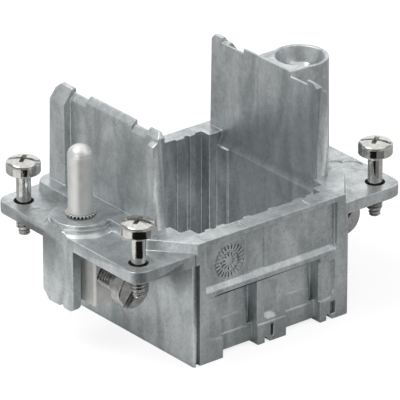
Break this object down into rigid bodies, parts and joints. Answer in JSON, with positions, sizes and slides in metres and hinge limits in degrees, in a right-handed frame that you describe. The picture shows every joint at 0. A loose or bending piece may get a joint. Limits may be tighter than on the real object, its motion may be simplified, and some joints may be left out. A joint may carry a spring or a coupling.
{
  "type": "die-cast docking frame for rectangular connector modules",
  "caption": "Die-cast metal docking frame that carries two contact modules, with captive panel screws, a guide pin, a guide socket and earth terminals.",
  "frame": {"origin": "centre of the four mounting screws, on the flange's underside, which meets the panel", "axes": "+Z is the mating side, where the wings and the guide pin stand; +X runs from the guide pin to the guide socket; the earth screws face -Y"},
  "size_m": [0.0618, 0.0414, 0.0425],
  "materials": {
    "raw_zinc_casting": "raw zinc die casting, tumbled, with mottled satin grey faces and brighter edges",
    "turned_steel": "turned and plain, satin",
    "terminal_metal": "plated block, satin",
    "nickel_screw": "bright nickel plate"
  },
  "bodies": {
    "frame": {"frame_casting": "raw_zinc_casting", "guide_pin": "turned_steel", "guide_bush": "turned_steel", "earth_terminal_left": "terminal_metal", "earth_terminal_right": "terminal_metal"},
    "mounting_screw_front_left": {"mounting_screw_front_left": "nickel_screw"},
    "mounting_screw_front_right": {"mounting_screw_front_right": "nickel_screw"},
    "mounting_screw_back_left": {"mounting_screw_back_left": "nickel_screw"},
    "mounting_screw_back_right": {"mounting_screw_back_right": "nickel_screw"},
    "earth_screw_left": {"earth_screw_left": "nickel_screw"},
    "earth_screw_right": {"earth_screw_right": "nickel_screw"}
  },
  "joints": [
    {"name": "mounting_screw_front_left_slide", "type": "slide", "parent": "frame", "child": "mounting_screw_front_left", "axis": [0, 0, 1], "range_m": [-0.0053, 0]},
    {"name": "mounting_screw_front_right_slide", "type": "slide", "parent": "frame", "child": "mounting_screw_front_right", "axis": [0, 0, 1], "range_m": [-0.0053, 0]},
    {"name": "mounting_screw_back_left_slide", "type": "slide", "parent": "frame", "child": "mounting_screw_back_left", "axis": [0, 0, 1], "range_m": [-0.0053, 0]},
    {"name": "mounting_screw_back_right_slide", "type": "slide", "parent": "frame", "child": "mounting_screw_back_right", "axis": [0, 0, 1], "range_m": [-0.0053, 0]},
    {"name": "earth_screw_left_slide", "type": "slide", "parent": "frame", "child": "earth_screw_left", "axis": [0, 1, 0], "range_m": [0, 0.0033]},
    {"name": "earth_screw_right_slide", "type": "slide", "parent": "frame", "child": "earth_screw_right", "axis": [0, 1, 0], "range_m": [0, 0.0033]}
  ]
}
